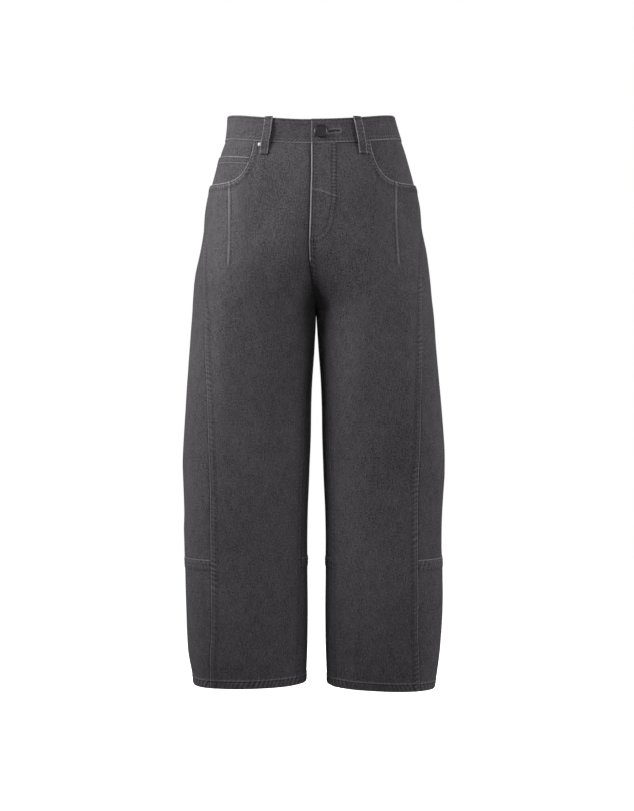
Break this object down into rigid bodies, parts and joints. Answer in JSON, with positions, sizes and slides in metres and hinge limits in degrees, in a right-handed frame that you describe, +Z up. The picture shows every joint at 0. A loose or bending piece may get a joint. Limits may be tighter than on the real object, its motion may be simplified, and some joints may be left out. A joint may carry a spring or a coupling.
{
  "type": "barrel leg trousers",
  "caption": "High-rise barrel-leg denim trousers, filled out as worn, with scoop pockets, forward side seams, a cross seam on the shin and a buttoned waistband.",
  "frame": {"origin": "the middle of the waist opening, half way up the waistband at the sides", "axes": "+Z up out of the waist, -Y towards the front (the fly), +X towards the wearer's left"},
  "size_m": [0.4232, 0.2418, 0.9335],
  "materials": {
    "denim_body": "washed black twill denim, matt, with pale worn slubs and seam edges",
    "denim_band": "doubled washed black denim with worn pale edges",
    "button_metal": "matt dark coated metal",
    "rivet_metal": "dark plated metal with a paler worn rim"
  },
  "bodies": {
    "root": {"waistband": "denim_band", "front_left": "denim_body", "front_right": "denim_body", "yoke_left": "denim_body", "yoke_right": "denim_body", "back_upper_left": "denim_body", "back_upper_right": "denim_body", "back_lower_left": "denim_body", "back_lower_right": "denim_body", "pocket_facing_left": "denim_body", "pocket_facing_right": "denim_body", "coin_pocket": "denim_body", "fly_shield": "denim_body", "belt_loop_front_left": "denim_band", "belt_loop_front_right": "denim_band", "belt_loop_side_left": "denim_band", "belt_loop_side_right": "denim_band", "belt_loop_back": "denim_band", "button": "button_metal", "rivet_left": "rivet_metal", "rivet_right": "rivet_metal"}
  },
  "joints": []
}
